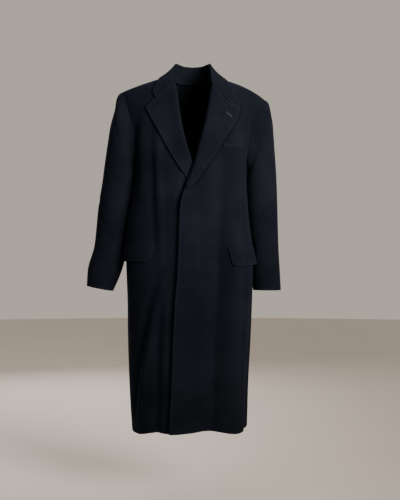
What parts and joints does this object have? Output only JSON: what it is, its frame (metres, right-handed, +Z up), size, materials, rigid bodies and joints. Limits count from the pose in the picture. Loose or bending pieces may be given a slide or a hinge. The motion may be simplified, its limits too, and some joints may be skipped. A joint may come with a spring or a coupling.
{
  "type": "overcoat",
  "caption": "Long wool overcoat in its worn shape, hollow, with notched lapels, covered fly front, flap pockets, set-in sleeves and open neck, hem and cuffs.",
  "frame": {"origin": "middle of the neck at the height where the shoulder line starts, where the wearer's neck and shoulders carry the coat", "axes": "+X towards the wearer's left, +Y towards the back, +Z up"},
  "size_m": [0.649, 0.3485, 1.2261],
  "materials": {
    "front wool left": "dark navy melton wool with a short matt nap",
    "front wool right": "dark navy melton wool with a short matt nap",
    "back wool left": "dark navy melton wool with a short matt nap",
    "back wool right": "dark navy melton wool with a short matt nap",
    "top sleeve wool left": "dark navy melton wool with a short matt nap",
    "top sleeve wool right": "dark navy melton wool with a short matt nap",
    "under sleeve wool left": "dark navy melton wool with a short matt nap",
    "under sleeve wool right": "dark navy melton wool with a short matt nap",
    "collar wool": "dark navy melton wool with a short matt nap",
    "collar stand wool": "dark navy melton wool with a short matt nap",
    "lapel wool left": "dark navy melton wool with a short matt nap",
    "lapel wool right": "dark navy melton wool with a short matt nap",
    "flap wool left": "dark navy melton wool with a short matt nap",
    "flap wool right": "dark navy melton wool with a short matt nap",
    "welt wool": "dark navy melton wool with a short matt nap"
  },
  "bodies": {
    "root": {"front_left": "front wool left", "front_right": "front wool right", "back_left": "back wool left", "back_right": "back wool right", "sleeve_top_left": "top sleeve wool left", "sleeve_top_right": "top sleeve wool right", "sleeve_under_left": "under sleeve wool left", "sleeve_under_right": "under sleeve wool right", "collar_fall": "collar wool", "collar_stand": "collar stand wool", "lapel_left": "lapel wool left", "lapel_right": "lapel wool right", "pocket_flap_left": "flap wool left", "pocket_flap_right": "flap wool right", "breast_pocket_welt": "welt wool"}
  },
  "joints": []
}
